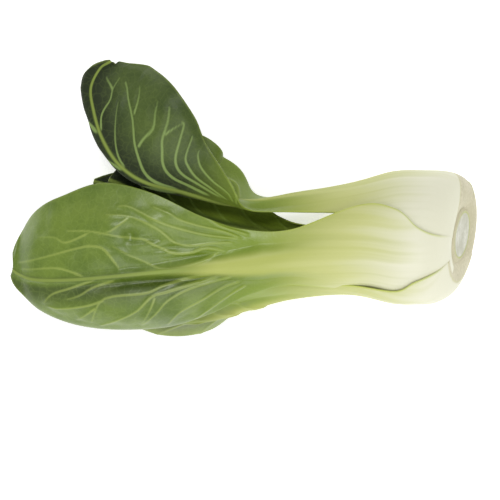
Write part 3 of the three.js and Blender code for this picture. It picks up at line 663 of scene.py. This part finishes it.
# The lower leaf of the second layer, the other one's match inside the leaf on the lower side. It lies
# in the dark under the leaf on top, and a little of its margin shows at its tip.
inner_lower_stations = leaf_stations(-100, 0.645, (40, 40), (60, 62), 17, 4, 10, [
    [40, -31, 22,  0, -0.9, -0.42,  9, 7,  0, 0,  36, 36,  0, 0,  3.8, 7],
    [22, -31.5, 18,  0, -0.62, -0.78,  9, 8,  0, 0,  24, 18,  0, 0,  3, 5],
    [4, -32, 14,  0, -0.3, -0.95,  10, 9,  0, 0,  18, 16,  0, 0,  2.6, 4],
    [-14, -29.5, 13,  0, -0.2, -0.97,  11, 13,  4, 2,  10, 8,  0, 0,  2.2, 3],
    [-32, -27, 13,  0, -0.15, -0.98,  10, 14,  4, 2,  8, 8,  0, 0,  1.8, 2.4],
    [-46, -26, 14.5,  -0.1, -0.1, -0.98,  6, 8,  2, 2,  6, 6,  0, 0,  1.3, 2],
    [-51, -26, 15.5,  -0.1, -0.1, -0.98,  1, 1,  0, 0,  0, 0,  0, 0,  1, 2],
])
inner_lower_veins = grown_veins(62, 120, 6, 15, 47)
leaf_inner_lower = make_leaf("inner_lower_leaf", inner_lower_stations, (0.8, 4, 1.9), inner_lower_veins,
    170, 61, pucker=0.3, seed=47)
leaf_inner_lower.data.materials.append(inner_shaded_green)
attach(leaf_inner_lower, "root")
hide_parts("leaf_inner_lower")

# The upper leaf of the heart, one of the two youngest, short and rolled inwards round the stem's tip.
# The leaf on top covers it.
heart_upper_stations = leaf_stations(0, 0.44, (40, 40), (62, 62), 17, 3.4, 7, [
    [42, -17.5, 38,  0, 0, 1,  8, 8,  0, 0,  42, 42,  0, 0,  3, 5],
    [26, -20, 35.5,  0, 0, 1,  6.5, 6.5,  0, 0,  36, 36,  0, 0,  2.6, 3.6],
    [10, -25, 33.5,  0, 0, 1,  8.5, 8,  0, 0,  34, 34,  0, 0,  2.2, 3],
    [-6, -27, 31.5,  -0.05, 0, 1,  9.5, 9,  0, 0,  34, 34,  0, 0,  1.8, 2.4],
    [-17, -28, 29.5,  -0.1, 0, 1,  5.5, 5.5,  0, 0,  18, 18,  0, 0,  1.3, 2],
    [-21, -28, 28.5,  -0.1, 0, 1,  0.8, 0.8,  0, 0,  0, 0,  0, 0,  1, 2],
])
heart_upper_veins = grown_veins(45, 88, 4, 9, 53)
leaf_heart_upper = make_leaf("heart_upper_leaf", heart_upper_stations, (0.5, 3, 0.2), heart_upper_veins,
    120, 45, pucker=0.2, seed=53)
leaf_heart_upper.data.materials.append(inner_shaded_green)
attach(leaf_heart_upper, "root")
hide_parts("leaf_heart_upper")

# The lower leaf of the heart, the smallest of all. It lies against the upper one, hidden between the
# second layer's leaves.
heart_lower_stations = leaf_stations(180, 0.385, (40, 40), (60, 60), 20, 3, 6, [
    [42, -20.5, 19.5,  0, 0, -1,  7, 7,  0, 0,  40, 40,  0, 0,  2.8, 4.5],
    [28, -24.5, 22,  0, 0, -1,  4.5, 4.5,  0, 0,  28, 28,  0, 0,  2.4, 3.2],
    [14, -27, 23.2,  0, 0, -1,  5, 5,  0, 0,  26, 26,  0, 0,  2, 2.6],
    [0, -28.5, 23.8,  0, 0, -1,  5.5, 5.5,  0, 0,  22, 22,  0, 0,  1.6, 2.2],
    [-9, -29, 24,  0, 0, -1,  0.8, 0.8,  0, 0,  0, 0,  0, 0,  1, 2],
])
heart_lower_veins = grown_veins(40, 74, 4, 6, 59)
leaf_heart_lower = make_leaf("heart_lower_leaf", heart_lower_stations, (0.4, 3, 2.2), heart_lower_veins,
    110, 41, pucker=0.15, seed=59)
leaf_heart_lower.data.materials.append(inner_shaded_green)
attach(leaf_heart_lower, "root")
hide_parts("leaf_heart_lower")

# The root stem. The head was cut from its root with a knife: what is left is a short pale core that the
# stalks grow from, with a leaning, slightly dished cut face, dry and browned at its rim.
STEM_PROFILE = np.array([
    [72, 0], [72, 6], [72, 12], [75, 16], [82, 18], [87.5, 15.5], [90.0, 12.2], [91.2, 10.8],
    [91.6, 10.2], [91.5, 9.4], [91.35, 7], [91.2, 4], [91.1, 0],
])


def turned(name, profile, rings, segments, uneven):
    """A closed turned solid: the profile (place along the axis, radius), smoothly joined, carried round
    the head's axis, its radius uneven by a small sum of sines of the turn."""
    line = along(profile, np.linspace(0, 1, rings))
    turn = np.linspace(0, 2 * np.pi, segments, endpoint=False)
    far, radius = line[1:-1, 0:1], np.maximum(line[1:-1, 1:2], 0.05)
    wobble = 1 + uneven * (np.sin(3 * turn + 0.6) + 0.6 * np.sin(5 * turn + 2.0) + 0.4 * np.sin(9 * turn))
    body = np.stack([
        np.broadcast_to(far, (rings - 2, segments)),
        HEAD_Y + radius * wobble * np.sin(turn), HEAD_Z + radius * wobble * np.cos(turn),
    ], -1)
    ends = np.array([[line[0, 0], HEAD_Y, HEAD_Z], [line[-1, 0], HEAD_Y, HEAD_Z]])
    points = (lean_back(np.concatenate([body.reshape(-1, 3), ends])) + HEAD_SHIFT) * MM
    grid = np.arange((rings - 2) * segments).reshape(rings - 2, segments)
    beside = np.roll(grid, -1, axis=1)
    walls = np.stack([grid[:-1], beside[:-1], beside[1:], grid[1:]], -1).reshape(-1, 4)
    low = np.stack([beside[0], grid[0], np.full(segments, grid.size)], -1)
    high = np.stack([grid[-1], beside[-1], np.full(segments, grid.size + 1)], -1)
    mesh = bpy.data.meshes.new(name)
    mesh.from_pydata(points.tolist(), [], walls.tolist() + low.tolist() + high.tolist())
    mesh.polygons.foreach_set("use_smooth", np.ones(len(mesh.polygons), bool))
    solid = bpy.data.objects.new(name, mesh)
    scene.collection.objects.link(solid)
    return solid


root_stem = turned("cut_stem", STEM_PROFILE, 90, 144, 0.012)
stem_pale = Finish("cut_stem_pale", 0.62)
in_head = stem_pale.node("ShaderNodeTexCoord", output=3)
fibres = stem_pale.noise(in_head, 0.0011, 3.0, 0.6)
blotch = stem_pale.noise(in_head, 0.006, 2.0, 0.5)
across_cut = stem_pale.node("ShaderNodeVectorMath", {"operation": "SUBTRACT"}, {
    0: in_head, 1: ((CUT_X + HEAD_SHIFT[0]) * MM, (HEAD_Y + HEAD_SHIFT[1]) * MM, HEAD_Z * MM)})
across_cut = stem_pale.node("ShaderNodeVectorMath", {"operation": "MULTIPLY"}, {0: across_cut, 1: (0, 1, 1)})
from_axis = stem_pale.node("ShaderNodeVectorMath", {"operation": "LENGTH"}, {0: across_cut}, 1)
cut_colour = stem_pale.mix(stem_pale.step(0.35, 0.75, blotch), paint(196, 196, 176), paint(226, 226, 212))
cut_colour = stem_pale.mix(stem_pale.step(0.0090, 0.0095, from_axis), cut_colour, paint(190, 194, 128))
cut_colour = stem_pale.mix(stem_pale.step(0.0097, 0.0106, from_axis), cut_colour, paint(206, 200, 166))
stem_pale.give(stem_pale.shader.inputs["Base Color"],
    stem_pale.mix(stem_pale.step(0.4, 0.8, fibres) * 0.4, cut_colour, paint(170, 166, 140)))
stem_pale.bump(fibres * 0.7 + blotch * 0.3, 0.0006, 0.8)
root_stem.data.materials.append(stem_pale.material)
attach(root_stem, "root")
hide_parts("root_stem")
